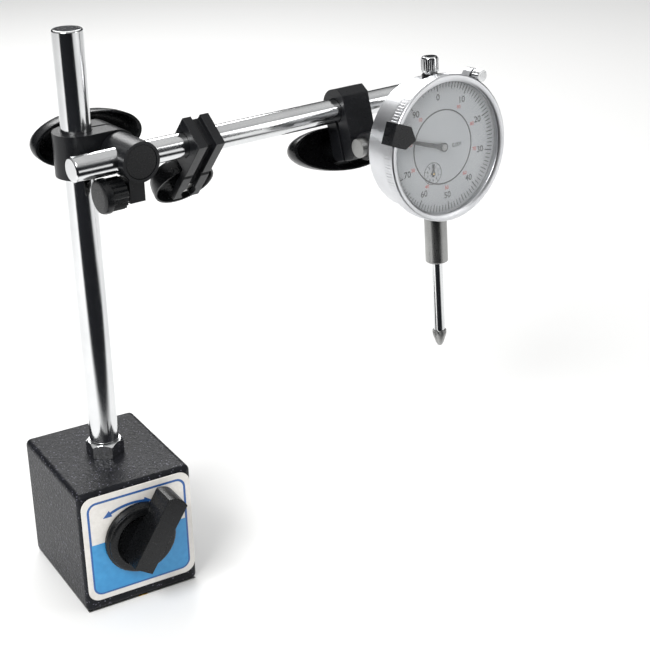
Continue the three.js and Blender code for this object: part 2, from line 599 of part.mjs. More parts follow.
function addGearTrain() {
  const handArbor = join(
    wheel(HAND_PINION_R - 0.05, HAND_PINION_R - 0.22, 10, 6.4, 6.8),
    wheel(COUNTER_PINION_R - 0.05, COUNTER_PINION_R - 0.25, 10, 5.72, 6.1),
    rod("z", 3.3, 6.9, 0.5, 0, 0, 12),
    rod("z", 3.25, 3.42, 1.3, 0, 0, 16),
  );
  add(dialGroup, "hand_arbor", towardsBack(handArbor), steel);
  const rackArbor = join(
    wheel(RACK_WHEEL_R - 0.05, RACK_WHEEL_R - 0.35, 24, 6.4, 6.75),
    wheel(RACK_PINION_R - 0.05, RACK_PINION_R - 0.3, 16, 9.4, 12.4),
    rod("z", 5.3, 15.4, 0.5, 0, 0, 12),
  );
  add(dialGroup, "rack_arbor", towardsBack(rackArbor), brass, [RACK_ARBOR_X, 0, 0]);
  const counterArbor = join(
    wheel(COUNTER_WHEEL_R - 0.05, COUNTER_WHEEL_R - 0.4, 40, 5.72, 6.05),
    rod("z", 3.9, 6.2, 0.45, 0, 0, 12),
  );
  add(dialGroup, "counter_arbor", towardsBack(counterArbor), brass, [COUNTER_X, 0, COUNTER_Z]);
}

function addHands() {
  const hand = new THREE.Shape();
  hand.absarc(0, 0, 1.9, Math.PI, 2 * Math.PI);
  hand.lineTo(0.95, 4);
  hand.lineTo(0.75, 17);
  hand.lineTo(0.25, 24.5);
  hand.lineTo(-0.25, 24.5);
  hand.lineTo(-0.75, 17);
  hand.lineTo(-0.95, 4);
  const plate = cut(frontSlab(hand, 3.45, 3.8), rod("y", 3, 4, 0.6, 0, 0, 12));
  add(dialGroup, "main_hand", plate, handBlack, [0, 0, 0], [0, POINTER_ANGLE, 0]);
  const small = frontSlab([[-0.5, -1.4], [0.5, -1.4], [0.3, 3.9], [-0.3, 3.9]], 4.05, 4.35);
  const hub = rod("y", 4.05, 4.35, 1, 0, 0, 14);
  const counterHand = cut(join(small, hub), rod("y", 4, 5, 0.55, 0, 0, 10));
  add(dialGroup, "counter_hand", counterHand, handBlack, [COUNTER_X, 0, COUNTER_Z], [0, COUNTER_ANGLE, 0]);
}

// The clip hugs the bezel's rim and carries a pointed tab over the crystal.
function addLimitClip() {
  const half = 4.6;
  const tab = frontSlab([[-half, 31.2], [half, 31.2], [half, 23.6], [0, 19.6], [-half, 23.6]], -1, -0.2);
  const skirt = box([-half, -1, 30.35], [half, BEZEL_DEPTH - 0.3, 31.4]);
  add(dialGroup, "limit_clip", join(tab, skirt), knobPlastic, [0, 0, 0], [0, CLIP_ANGLE, 0]);
}

function addSpindle() {
  const pitch = 1.27;
  const teeth = 28;
  const low = -30;
  const rackOutline = [[1.2, low]];
  for (let i = 0; i < teeth; i++) {
    rackOutline.push([2.1, low + i * pitch]);
    rackOutline.push([2.6, low + (i + 0.5) * pitch]);
  }
  rackOutline.push([2.1, low + teeth * pitch]);
  rackOutline.push([1.2, low + teeth * pitch]);
  const stemTop = -24.5;
  const rack = frontSlab(rackOutline, 10, 11.8).subtract(box([0, 0, low - 1], [5, 20, stemTop]));
  const flat = box([2.05, 0, stemTop], [5, 20, low + teeth * pitch]);
  const bar = rod("z", POINT_TOP, CAP_BOTTOM, SPINDLE_R, 0, SPINDLE_Y, 24);
  add(dialGroup, "spindle", join(cut(bar, flat), rack), chrome);
  const pointBottom = 0.9;
  const point = turned([
    [0, POINT_END], [pointBottom, POINT_END + 0.2], [1.7, POINT_END + 1.6], [2.9, POINT_END + 5.2],
    [2.9, POINT_TOP - 0.1], [0, POINT_TOP - 0.1],
  ], 20);
  add(dialGroup, "contact_point", point, steel, [0, SPINDLE_Y, 0]);
  const cap = turned([
    [0, CAP_BOTTOM + 0.1], [3.3, CAP_BOTTOM + 0.1], [3.5, CAP_BOTTOM + 0.6], [3.5, CAP_TOP - 1],
    [2.9, CAP_TOP - 0.2], [0, CAP_TOP],
  ], 24);
  add(dialGroup, "lifting_cap", cap, chrome, [0, SPINDLE_Y, 0]);
  const guide = rod("y", SPINDLE_Y + SPINDLE_R + 0.1, 15.5, 0.8, 0, -5, 12);
  add(dialGroup, "guide_pin", guide, steel);
}

// The return spring pulls the spindle down; it lies beside the spindle between two eyes.
function addReturnSpring() {
  const turns = 6;
  const radius = 1.5;
  const low = -22;
  const high = -7;
  class Coil extends THREE.Curve {
    getPoint(t, target = new THREE.Vector3()) {
      const a = t * turns * 2 * Math.PI;
      return target.set(radius * Math.cos(a), radius * Math.sin(a), low + t * (high - low));
    }
  }
  const wire = new THREE.Shape();
  wire.absarc(0, 0, 0.3, 0, 2 * Math.PI);
  const options = { steps: turns * 8, extrudePath: new Coil(), bevelEnabled: false, curveSegments: 2 };
  const coil = solid(new THREE.ExtrudeGeometry(wire, options));
  add(dialGroup, "return_spring", coil, steel, [-6.5, 11.5, 0]);
}

addPoles();
addSwitch();
addSwitchKnob();
addPost();
addPostClamp();
addEye();
addFineAdjuster();
addArm();
addSpareClamp();
addHolderClamp();
addCase();
addBackCover();
addBezel();
addMovement();
addGearTrain();
addHands();
addLimitClip();
addSpindle();
addReturnSpring();

export default root;
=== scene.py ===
# %% [markdown]
# # A dial indicator on a magnetic base
# The measuring stand is loaded as a fixed frame of solids that already have their true sizes and joints.
# This lesson gives it its looks: soft edges, knurling, the printed label, the dial, and a finish for
# each real material. Shapes are worked out in millimetres and brought to metres when they are placed.

# %% Load the frame
import json
import math
import bpy
from mathutils import Matrix, Vector


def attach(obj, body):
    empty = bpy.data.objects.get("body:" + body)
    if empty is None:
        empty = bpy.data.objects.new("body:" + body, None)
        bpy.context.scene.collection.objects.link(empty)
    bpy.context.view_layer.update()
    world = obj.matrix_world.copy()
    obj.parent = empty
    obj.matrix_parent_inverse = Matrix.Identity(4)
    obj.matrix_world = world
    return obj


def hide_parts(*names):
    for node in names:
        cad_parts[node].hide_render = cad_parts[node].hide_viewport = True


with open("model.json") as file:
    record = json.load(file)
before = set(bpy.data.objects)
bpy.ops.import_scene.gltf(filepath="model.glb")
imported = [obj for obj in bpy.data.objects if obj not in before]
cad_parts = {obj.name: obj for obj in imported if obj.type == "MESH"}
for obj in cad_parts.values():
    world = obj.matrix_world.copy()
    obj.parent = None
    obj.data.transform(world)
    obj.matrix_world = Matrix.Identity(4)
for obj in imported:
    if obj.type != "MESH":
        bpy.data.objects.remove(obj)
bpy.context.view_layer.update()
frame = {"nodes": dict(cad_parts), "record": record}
nodes = frame["nodes"]
BODY_OF = {n: b for b, ns in frame["record"]["behaviour"]["bodies"].items() for n in ns}
SLOT_OF = {s["node"]: s["material_slot"] for s in frame["record"]["subparts"]}

# %% [markdown]
# ## Where things are
# The arm and everything on it stand in a frame that is turned about the post, and the dial has a frame
# of its own, tilted a little upwards. A matrix for each one turns "millimetres from the middle of
# the dial" into the metres of the whole model, so each piece is drawn where it is easy to think about.

# %% Frames of the base, the arm and the dial
MM = Matrix.Scale(0.001, 4)
ARM_YAW = math.radians(6.3)
HOLDER_TURN = math.radians(-17)
SPARE_TURN = math.radians(40)
DIAL_TILT = math.radians(3.7)
ARM_Y = -18.4
ARM_Z = 186
SPARE_X = 42
HOLDER_X = 116.8
HOLDER_SCREW_Z = -16.5
PIN_OUT = 14
PIN_TO_RIM = 30
DIAL_X = 132


def turned_frame(parent, place, turn):
    """A frame at a place in its parent's frame, turned about its own X."""
    return parent @ Matrix.Translation(place) @ Matrix.Rotation(turn, 4, "X")


BASE = MM
ARM = MM @ Matrix.Translation((0, 0, ARM_Z)) @ Matrix.Rotation(ARM_YAW, 4, "Z")
SPARE = turned_frame(ARM, (SPARE_X, ARM_Y, 0), SPARE_TURN)
HOLDER = turned_frame(ARM, (HOLDER_X, ARM_Y, 0), HOLDER_TURN)
pin_y = ARM_Y - PIN_OUT * math.cos(HOLDER_TURN) - HOLDER_SCREW_Z * math.sin(HOLDER_TURN)
pin_z = -PIN_OUT * math.sin(HOLDER_TURN) + HOLDER_SCREW_Z * math.cos(HOLDER_TURN)
dial_y = pin_y - PIN_TO_RIM * math.cos(DIAL_TILT)
dial_z = pin_z + PIN_TO_RIM * math.sin(DIAL_TILT)
DIAL = turned_frame(ARM, (DIAL_X, dial_y, dial_z), -DIAL_TILT)
FRONT = Matrix.Rotation(math.pi / 2, 4, "X")
print("dial's front rim in metres", tuple(round(v, 4) for v in DIAL.translation))

# %% [markdown]
# ## Camera, floor and light
# The view is a long lens from the left and a little above, as a catalogue picture is taken. The floor is
# a plain pale sheet. Chrome shows only what it reflects, so the sky is bright above and dark near the
# horizon, and three soft panels give the tubes their long highlights. The camera itself sees the sky as
# one pale colour, so that the background stays plain from every side.

# %% Camera
cam_data = bpy.data.cameras.new("catalogue_camera")
cam_data.sensor_width = 36
cam_data.lens = 83.1
camera = bpy.data.objects.new("catalogue_camera", cam_data)
bpy.context.scene.collection.objects.link(camera)
right = Vector((0.8618, -0.5067, -0.0223))
forward = Vector((0.4563, 0.7938, -0.4021))
up = -Vector((-0.2214, -0.3363, -0.9153))
rows = Matrix((right, up, -forward)).transposed()
camera.matrix_world = Matrix.Translation((-0.1968, -0.5302, 0.3556)) @ rows.to_4x4()
bpy.context.scene.camera = camera
print("camera with a", cam_data.lens, "mm lens")

# %% Colours and nodes


def linear(hex_colour):
    """An sRGB hex colour as linear red, green, blue and alpha."""
    values = [int(hex_colour[i:i + 2], 16) / 255 for i in (1, 3, 5)]
    return [v / 12.92 if v <= 0.04045 else ((v + 0.055) / 1.055) ** 2.4 for v in values] + [1.0]


def add_node(material, kind, inputs=None, **settings):
    """Adds a node, sets its properties, and sets or links its inputs."""
    node = material.node_tree.nodes.new(kind)
    for key, value in settings.items():
        setattr(node, key, value)
    for key, value in (inputs or {}).items():
        if isinstance(value, bpy.types.NodeSocket):
            material.node_tree.links.new(value, node.inputs[key])
        else:
            node.inputs[key].default_value = value
    return node


# %% Floor and lights
def soft_panel(name, place, aim, size, power):
    """A rectangular lamp that looks at a point."""
    data = bpy.data.lights.new(name, "AREA")
    data.shape = "RECTANGLE"
    data.size, data.size_y = size
    data.energy = power
    lamp = bpy.data.objects.new(name, data)
    bpy.context.scene.collection.objects.link(lamp)
    lamp.location = place
    lamp.rotation_euler = (Vector(aim) - Vector(place)).to_track_quat("-Z", "Y").to_euler()


soft_panel("key_panel", (-0.7, -0.5, 0.9), (0.05, 0, 0.12), (0.5, 0.5), 13)
soft_panel("fill_panel", (0.9, -0.8, 0.5), (0.05, 0, 0.12), (0.3, 0.9), 2.5)
soft_panel("rim_panel", (0.3, 0.9, 0.8), (0.05, 0, 0.15), (0.6, 0.4), 6)

world = bpy.data.worlds.new("pale_studio")
bpy.context.scene.world = world
world.use_nodes = True
direction = add_node(world, "ShaderNodeTexCoord").outputs["Generated"]
height = add_node(world, "ShaderNodeSeparateXYZ", {0: direction}).outputs["Z"]
sky = add_node(world, "ShaderNodeValToRGB", {0: height})
sky.color_ramp.elements[0].position = 0.3
sky.color_ramp.elements[0].color = linear("#2E3034")
sky.color_ramp.elements[1].position = 0.8
sky.color_ramp.elements[1].color = linear("#FFFFFF")
background = world.node_tree.nodes["Background"]
PALE_BACKDROP = linear("#F4F4F3")
seen = add_node(world, "ShaderNodeLightPath").outputs["Is Camera Ray"]
sky_or_backdrop = {0: seen, 6: sky.outputs["Color"], 7: PALE_BACKDROP}
behind = add_node(world, "ShaderNodeMix", sky_or_backdrop, data_type="RGBA")
world.node_tree.links.new(behind.outputs[2], background.inputs["Color"])
background.inputs["Strength"].default_value = 0.8

bpy.ops.object.select_all(action="DESELECT")
bpy.ops.mesh.primitive_plane_add(size=6, location=(0, 0, -0.0002))
floor = bpy.context.object
floor.name = "pale_floor"
paper = bpy.data.materials.new("pale_paper_sweep")
paper.use_nodes = True
paper_shader = paper.node_tree.nodes["Principled BSDF"]
paper_shader.inputs["Base Color"].default_value = linear("#F1F1F0")
paper_shader.inputs["Roughness"].default_value = 0.9
floor.data.materials.append(paper)
print("floor, sky and three soft panels")

# %% [markdown]
# A polished tube standing on white paper would mirror nothing but white. In a studio, a dark card is laid
# in front of the object to give it shape, out of the picture. Here the floor's front left part is such a
# card, with soft edges, but only for rays that come from a reflection, so the picture still shows plain
# pale paper.

# %% A dark card seen only in reflections
CARD_FAR_EDGE = (-0.16, -0.1)
CARD_RIGHT_EDGE = (0.24, 0.34)


def dark_before(coordinate, edge):
    """One before a soft edge and zero past it, along one axis of the floor in metres."""
    limits = {0: coordinate, 1: edge[0], 2: edge[1], 3: 1.0, 4: 0.0}
    return add_node(paper, "ShaderNodeMapRange", limits).outputs[0]


spot = add_node(paper, "ShaderNodeTexCoord").outputs["Object"]
across = add_node(paper, "ShaderNodeSeparateXYZ", {0: spot}).outputs
in_front = dark_before(across["Y"], CARD_FAR_EDGE)
to_the_left = dark_before(across["X"], CARD_RIGHT_EDGE)
card = add_node(paper, "ShaderNodeMath", {0: in_front, 1: to_the_left}, operation="MULTIPLY").outputs[0]
shades = {0: card, 6: linear("#FFFFFF"), 7: linear("#1E1F22")}
card_colour = add_node(paper, "ShaderNodeMix", shades, data_type="RGBA").outputs[2]
card_shader = add_node(paper, "ShaderNodeBsdfDiffuse", {"Color": card_colour})
from_mirror = add_node(paper, "ShaderNodeLightPath").outputs["Is Glossy Ray"]
choice = {0: from_mirror, 1: paper_shader.outputs[0], 2: card_shader.outputs[0]}
either = add_node(paper, "ShaderNodeMixShader", choice)
paper.node_tree.links.new(either.outputs[0], paper.node_tree.nodes["Material Output"].inputs["Surface"])
print("a dark card for reflections only")

# %% [markdown]
# ## Finishes
# Every real surface varies: paint has a grain, steel has fine scratches, moulded plastic is a little
# mottled. One function builds that variation from noise measured in millimetres, and each finish says what
# it is made of. Where a pattern would be too fine to see, it is drawn only as coarse as it must be.

# %% A finish with grain


def finish(name, light, dark, rough, metallic=0.0, grain=1.0, bump=0.02, stretch=(1, 1, 1), **shader_values):
    """A surface that wanders between two colours and two roughnesses, with a fine bump.
    grain is the size of the pattern in millimetres, and stretch draws it out along an axis."""
    material = bpy.data.materials.new(name)
    material.use_nodes = True
    shader = material.node_tree.nodes["Principled BSDF"]
    where = add_node(material, "ShaderNodeTexCoord").outputs["Object"]
    scale = [s * 1000 / grain for s in stretch]
    place = add_node(material, "ShaderNodeMapping", {"Vector": where, "Scale": scale}).outputs[0]
    fine_noise = {"Vector": place, "Scale": 1.0, "Detail": 3.0}
    fine = add_node(material, "ShaderNodeTexNoise", fine_noise).outputs["Fac"]
    broad_noise = {"Vector": where, "Scale": 60.0, "Detail": 2.0}
    patch = add_node(material, "ShaderNodeTexNoise", broad_noise).outputs["Fac"]
    both = add_node(material, "ShaderNodeMath", {0: fine, 1: patch}, operation="MULTIPLY_ADD")
    both.inputs[2].default_value = 0.2
    tone = add_node(material, "ShaderNodeValToRGB", {0: both.outputs[0]})
    tone.color_ramp.elements[0].position = 0.3
    tone.color_ramp.elements[0].color = linear(dark)
    tone.color_ramp.elements[1].position = 0.6
    tone.color_ramp.elements[1].color = linear(light)
    links = material.node_tree.links
    links.new(tone.outputs[0], shader.inputs["Base Color"])
    gloss = add_node(material, "ShaderNodeMapRange", {0: fine, 1: 0.3, 2: 0.7, 3: rough[0], 4: rough[1]})
    links.new(gloss.outputs[0], shader.inputs["Roughness"])
    relief = add_node(material, "ShaderNodeBump", {"Height": fine, "Strength": 0.4, "Distance": bump / 1000})
    links.new(relief.outputs[0], shader.inputs["Normal"])
    shader.inputs["Metallic"].default_value = metallic
    for key, value in shader_values.items():
        shader.inputs[key.replace("_", " ")].default_value = value
    return material


# %% Plain finishes
# Cast zinc under satin black stoving enamel: dark, with soft broad highlights.
cast_black = finish("stoved_black_zinc", "#16171A", "#0D0E10", (0.26, 0.42), grain=0.5, bump=0.015,
                    Specular_IOR_Level=0.3)
# Moulded black ABS: nearly black and a little glossier where hands rub it.
moulded_black = finish("moulded_black_abs", "#131416", "#0B0C0D", (0.24, 0.36), grain=0.8, bump=0.006,
                       Specular_IOR_Level=0.3)
# Hard chrome on ground steel tube: a mirror with faint marks left by grinding.
chrome = finish("ground_hard_chrome", "#DCDDDD", "#C6C7C8", (0.08, 0.17), 1.0, grain=0.4, bump=0.004)
# Turned bare steel: grey, with fine rings from the lathe.
turned_steel = finish("turned_bare_steel", "#A9A9A7", "#838382", (0.25, 0.4), 1.0, grain=0.3, bump=0.01)
# Satin anodised aluminium: pale and even, with a soft gleam.
anodised = finish("satin_anodised_aluminium", "#D6D7D9", "#C3C4C6", (0.28, 0.4), 1.0, grain=0.25, bump=0.006)
# Clock brass, lightly tarnished.
clock_brass = finish("lacquered_clock_brass", "#C9A85A", "#A8863E", (0.2, 0.35), 1.0, grain=0.5)
# Sintered ferrite magnet: a dull grey ceramic.
ferrite = finish("sintered_ferrite", "#46464A", "#2F2F32", (0.6, 0.8), grain=0.4, bump=0.04)
# Spun aluminium dial under matt silver lacquer.
dial_silver = finish("matt_silver_dial", "#A6A9AC", "#9B9EA1", (0.42, 0.52), 0.3, grain=0.2, bump=0.004)
# Screen inks on the dial and on the hands.
ink_black = finish("black_dial_ink", "#131315", "#0B0B0C", (0.45, 0.6), grain=0.3, Specular_IOR_Level=0.15)
ink_red = finish("red_dial_ink", "#B5302B", "#962420", (0.45, 0.6), grain=0.3)
# Polyester label film with a satin varnish over screened inks.
film_white = finish("varnished_label_film", "#E6E3DE", "#DAD6D0", (0.3, 0.42), grain=1.5, bump=0.01)
ink_navy = finish("navy_label_ink", "#2D62A8", "#27548F", (0.3, 0.42), grain=0.8)
ink_cyan = finish("cyan_label_ink", "#3F9AD2", "#328AC4", (0.28, 0.4), grain=2.5, bump=0.01)
# Clear acrylic crystal: it shows only its reflections.
crystal_clear = finish("clear_acrylic_crystal", "#FFFFFF", "#F4F8FA", (0.02, 0.04), grain=5.0, bump=0.001,
                       Alpha=0.1, Specular_IOR_Level=0.25)
print("plain finishes made")

# %% [markdown]
# The base is cast in a mould and sprayed with hammer paint, which dries into small dimples and holds
# metal flakes. The dimples come from a cell pattern about a millimetre wide, and the flakes are the few
# cells of a much finer pattern that pass a threshold. The flakes are real, but their glint is painted in
# as a pale colour that shows under any light: partly real flakes, partly painted highlight.

# %% Hammer paint
hammer_paint = finish("black_hammer_paint", "#191A1F", "#0E0F12", (0.34, 0.5), grain=0.9, bump=0.09,
                      Specular_IOR_Level=0.15)
FLAKE_GLINT_THRESHOLD = 0.88
FLAKE_GLINT_SHARE = 0.3
paint_shader = hammer_paint.node_tree.nodes["Principled BSDF"]
paint_where = add_node(hammer_paint, "ShaderNodeTexCoord").outputs["Object"]
# Pale specks: the paint's metal flakes, with their glint painted in as colour that shows under any light.
flake_glint_cells = add_node(hammer_paint, "ShaderNodeTexVoronoi", {"Vector": paint_where, "Scale": 2200.0})
few_cells = {0: flake_glint_cells.outputs["Color"], 1: FLAKE_GLINT_THRESHOLD}
flake_glint = add_node(hammer_paint, "ShaderNodeMath", few_cells, operation="GREATER_THAN")
faint_flake_glint = add_node(hammer_paint, "ShaderNodeMath", {0: flake_glint.outputs[0], 1: FLAKE_GLINT_SHARE}, operation="MULTIPLY")
under = paint_shader.inputs["Base Color"].links[0].from_socket
# The pale flake colour is partly the metal flakes and partly their painted glint.
paint_and_flake_glint = {0: faint_flake_glint.outputs[0], 6: under, 7: linear("#A4A2B4")}
mixed = add_node(hammer_paint, "ShaderNodeMix", paint_and_flake_glint, data_type="RGBA")
hammer_paint.node_tree.links.new(mixed.outputs[2], paint_shader.inputs["Base Color"])
cells = {"Vector": paint_where, "Scale": 900.0}
dimples = add_node(hammer_paint, "ShaderNodeTexVoronoi", cells, feature="SMOOTH_F1")
hollows = {"Height": dimples.outputs["Distance"], "Strength": 0.8, "Distance": 0.0002}
dent = add_node(hammer_paint, "ShaderNodeBump", hollows)
hammer_paint.node_tree.links.new(dent.outputs[0], paint_shader.inputs["Normal"])

FINISH_OF_SLOT = {
    "painted_steel": hammer_paint, "cast_black": cast_black, "spacer_brass": clock_brass,
    "bare_steel": turned_steel, "chrome": chrome, "black_plastic": moulded_black, "magnet": ferrite,
    "satin_aluminium": anodised, "dial_enamel": dial_silver, "hand_paint": ink_black,
    "printed_film": film_white, "clear_crystal": crystal_clear,
}
for node_name, cad in nodes.items():
    cad.data.materials.clear()
    cad.data.materials.append(FINISH_OF_SLOT[SLOT_OF[node_name]])
print(len(FINISH_OF_SLOT), "finishes on the frame")

# %% [markdown]
# ## Helpers for making pieces
# An operator works on whatever is selected, so each helper first selects one piece alone. A finished
# piece is placed by its matrix, the matrix is applied to the mesh, the piece is told which moving body
# it rides on, and the plain solids it stands for are hidden.

# %% Selecting, finishing and placing


def only(piece):
    """Selects one piece alone and makes it active."""
    bpy.ops.object.select_all(action="DESELECT")
    piece.select_set(True)
    bpy.context.view_layer.objects.active = piece


def start_edit(piece):
    """Opens a piece for editing with all its points selected."""
    only(piece)
    bpy.ops.object.mode_set(mode="EDIT")
    bpy.ops.mesh.select_mode(type="VERT")
    bpy.ops.mesh.select_all(action="SELECT")


def end_edit():
    """Leaves the mesh editor."""
    bpy.ops.object.mode_set(mode="OBJECT")


def apply_modifier(piece, kind, **settings):
    """Adds a modifier with its settings and applies it to the mesh."""
    only(piece)
    modifier = piece.modifiers.new(kind.lower(), kind)
    for key, value in settings.items():
        setattr(modifier, key, value)
    bpy.ops.object.modifier_apply(modifier=modifier.name)


def settle(piece, name, place, node, material, replaced=(), angle=32):
    """Applies a piece's place, gives it its finish and its body, and hides what it stands for."""
    piece.name = name
    only(piece)
    if place is not None:
        piece.matrix_world = place @ piece.matrix_world
        bpy.ops.object.transform_apply(location=True, rotation=True, scale=True)
    bpy.ops.object.shade_smooth_by_angle(angle=math.radians(angle))
    piece.data.materials.clear()
    piece.data.materials.append(material)
    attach(piece, BODY_OF[node])
    if replaced:
        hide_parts(*replaced)
    return piece


def softened(node, bevel, material=None, angle=32):
    """A copy of a plain solid with its coplanar faces joined and its sharp edges rounded by bevel mm."""
    only(nodes[node])
    bpy.ops.object.duplicate()
    piece = bpy.context.object
    for key in list(piece.keys()):
        del piece[key]
    piece.parent = None
    start_edit(piece)
    bpy.ops.mesh.remove_doubles(threshold=2e-6)
    bpy.ops.mesh.dissolve_limited(angle_limit=math.radians(0.6))
    end_edit()
    if bevel:
        apply_modifier(piece, "BEVEL", width=bevel / 1000, segments=2, limit_method="ANGLE",
                       angle_limit=math.radians(38), use_clamp_overlap=True, miter_outer="MITER_ARC")
    settle(piece, node + "_finished", None, node, material or FINISH_OF_SLOT[SLOT_OF[node]], [node], angle)
    apply_modifier(piece, "WEIGHTED_NORMAL", weight=100, keep_sharp=True)
    return piece


# %% Turning a profile
def rounded(profile, radius):
    """Replaces each inner corner of a profile with three points on a small curve."""
    made = [profile[0]]
    for before, corner, after in zip(profile, profile[1:], profile[2:]):
        corner, towards = Vector(corner), []
        for end in (Vector(before), Vector(after)):
            reach = min(radius, (end - corner).length * 0.45)
            towards.append(corner + (end - corner).normalized() * reach)
        middle = (towards[0] + towards[1] + 2 * corner) / 4
        made += [towards[0], middle, towards[1]]
    return made + [profile[-1]]


def spun(profile, steps=72):
    """A profile of (radius, height) points in mm, drawn point by point and spun about Z."""
    bpy.ops.object.select_all(action="DESELECT")
    bpy.ops.mesh.primitive_plane_add(size=1)
    piece = bpy.context.object
    start_edit(piece)
    bpy.ops.mesh.merge(type="CENTER")
    bpy.ops.transform.translate(value=(profile[0][0], 0, profile[0][1]))
    for last, point in zip(profile, profile[1:]):
        step = (point[0] - last[0], 0, point[1] - last[1])
        bpy.ops.mesh.extrude_region_move(TRANSFORM_OT_translate={"value": step})
    bpy.ops.mesh.select_all(action="SELECT")
    bpy.ops.mesh.spin(steps=steps, angle=2 * math.pi, center=(0, 0, 0), axis=(0, 0, 1))
    bpy.ops.mesh.select_all(action="SELECT")
    bpy.ops.mesh.remove_doubles(threshold=1e-4)
    bpy.ops.mesh.normals_make_consistent(inside=False)
    end_edit()
    return piece


# %% Knurled bands
def knurled_band(count, tip, root, low, high, wall=0.5):
    """A thin ring round Z with count ridges: every other point of a circle is drawn in."""
    bpy.ops.object.select_all(action="DESELECT")
    bpy.ops.mesh.primitive_circle_add(vertices=2 * count, radius=tip, location=(0, 0, low))
    piece = bpy.context.object
    bpy.ops.object.transform_apply(location=True)
    for point in piece.data.vertices:
        point.select = point.index % 2 == 0
    for edge in piece.data.edges:
        edge.select = False
    only(piece)
    bpy.ops.object.mode_set(mode="EDIT")
    bpy.ops.transform.resize(value=(root / tip, root / tip, 1), center_override=(0, 0, 0))
    bpy.ops.mesh.select_all(action="SELECT")
    bpy.ops.mesh.extrude_region_move(TRANSFORM_OT_translate={"value": (0, 0, high - low)})
    bpy.ops.mesh.select_all(action="SELECT")
    bpy.ops.mesh.normals_make_consistent(inside=False)
    end_edit()
    apply_modifier(piece, "SOLIDIFY", thickness=wall, offset=-1.0)
    return piece


# %% [markdown]
# ## The base, the post and the arm
# These solids already have the right shape, but a real casting or a turned bar has no razor edges. A
# copy of each is given a small round along its sharp edges, which catches a thin line of light.

# %% Soft edges on the solids
BEVELS = {
    "rear_plug": 0.4, "label_plate": 0.12, "lock_nut": 0.25, "post": 0.2, "arm": 0.2, "post_clamp": 0.5,
    "eye_sleeve": 0.35, "eye_plug": 0.25, "fine_adjust_knob": 0.18, "fine_adjust_screw": 0.1,
    "post_wing_screw": 0.3, "spare_clamp": 0.35, "spare_wing_screw": 0.3, "holder_clamp": 0.5,
    "holder_wing_screw": 0.3, "swivel_eye": 0.4, "lug_pin": 0.3, "lug_nut": 0.25, "case": 0.25,
    "stem": 0.2, "back_cover": 0.2, "cover_screw_1": 0.1, "cover_screw_2": 0.1, "cover_screw_3": 0.1,
    "cover_screw_4": 0.1, "bezel": 0.18, "crystal": 0.1, "limit_clip": 0.2, "spindle": 0.1,
    "contact_point": 0.15, "lifting_cap": 0.2, "bezel_screw": 0.2, "switch_knob": 0.6, "main_hand": 0.05,
    "counter_hand": 0.04,
}
PAINTED_OVER = {"rear_plug"}
for node_name, width in BEVELS.items():
    softened(node_name, width, hammer_paint if node_name in PAINTED_OVER else None)
print(len(BEVELS), "solids softened")

# %% [markdown]
# The steel poles and the strips between them are clamped together, ground and then painted as one block, so
# no seam shows except under the foot, which stays bare. The block is one box: its upright corners are
# rounded first and all its edges after, and a bore is cut through it for the switch.

# %% Painted block and bare foot
BLOCK_SIZE = (50, 60, 54.95)
BLOCK_MIDDLE_Z = 27.525
SWITCH_Z = 30
BORE_R = 15
bpy.ops.object.select_all(action="DESELECT")
bpy.ops.mesh.primitive_cube_add(size=1)
block = bpy.context.object
start_edit(block)
bpy.ops.transform.resize(value=BLOCK_SIZE, center_override=(0, 0, 0))
bpy.ops.transform.translate(value=(0, 0, BLOCK_MIDDLE_Z))
bpy.ops.mesh.select_all(action="DESELECT")
end_edit()
upright = [abs(block.data.vertices[e.vertices[0]].co.z - block.data.vertices[e.vertices[1]].co.z) > 1
           for e in block.data.edges]
for edge, stands in zip(block.data.edges, upright):
    edge.select = stands
only(block)
bpy.ops.object.mode_set(mode="EDIT")
bpy.ops.mesh.select_mode(type="EDGE")
bpy.ops.mesh.bevel(offset=2.5, segments=6)
end_edit()
apply_modifier(block, "BEVEL", width=0.9, segments=3, limit_method="ANGLE", angle_limit=math.radians(60))
bpy.ops.object.select_all(action="DESELECT")
bpy.ops.mesh.primitive_cylinder_add(radius=BORE_R, depth=70, vertices=96, location=(0, 0, SWITCH_Z),
                                    rotation=(math.pi / 2, 0, 0))
cutter = bpy.context.object
apply_modifier(block, "BOOLEAN", operation="DIFFERENCE", object=cutter, solver="EXACT")
bpy.data.objects.remove(cutter)
poles = ["left_pole", "right_pole", "lower_spacer", "upper_spacer_front", "upper_spacer_rear"]
settle(block, "painted_block", BASE, "left_pole", hammer_paint, poles)
apply_modifier(block, "WEIGHTED_NORMAL", weight=100, keep_sharp=True)


FOOT_DEPTH = 58.6
FOOT_THICK = 0.3


def foot_strip(x0, x1, name, material):
    """One part of the ground foot: a thin plate with its lower edges just broken."""
    bpy.ops.object.select_all(action="DESELECT")
    bpy.ops.mesh.primitive_cube_add(size=1)
    piece = bpy.context.object
    start_edit(piece)
    bpy.ops.transform.resize(value=(x1 - x0, FOOT_DEPTH, FOOT_THICK), center_override=(0, 0, 0))
    bpy.ops.transform.translate(value=((x0 + x1) / 2, 0, FOOT_THICK / 2))
    end_edit()
    apply_modifier(piece, "BEVEL", width=0.08, segments=2)
    return settle(piece, name, BASE, "lower_spacer", material)


foot_strip(-24.3, -2.05, "foot_left", turned_steel)
foot_strip(-1.95, 1.95, "foot_spacer", clock_brass)
foot_strip(2.05, 24.3, "foot_right", turned_steel)
print("painted block with a bare foot")

# %% [markdown]
# ## Wing knobs
# Each clamp is tightened by a hollow oval grip, moulded with a thin wall. It is a round bowl spun from a
# smooth profile and then drawn out sideways into an oval, with a round hub inside it.

# %% Oval grips
HUB_BORE_R = 3.2


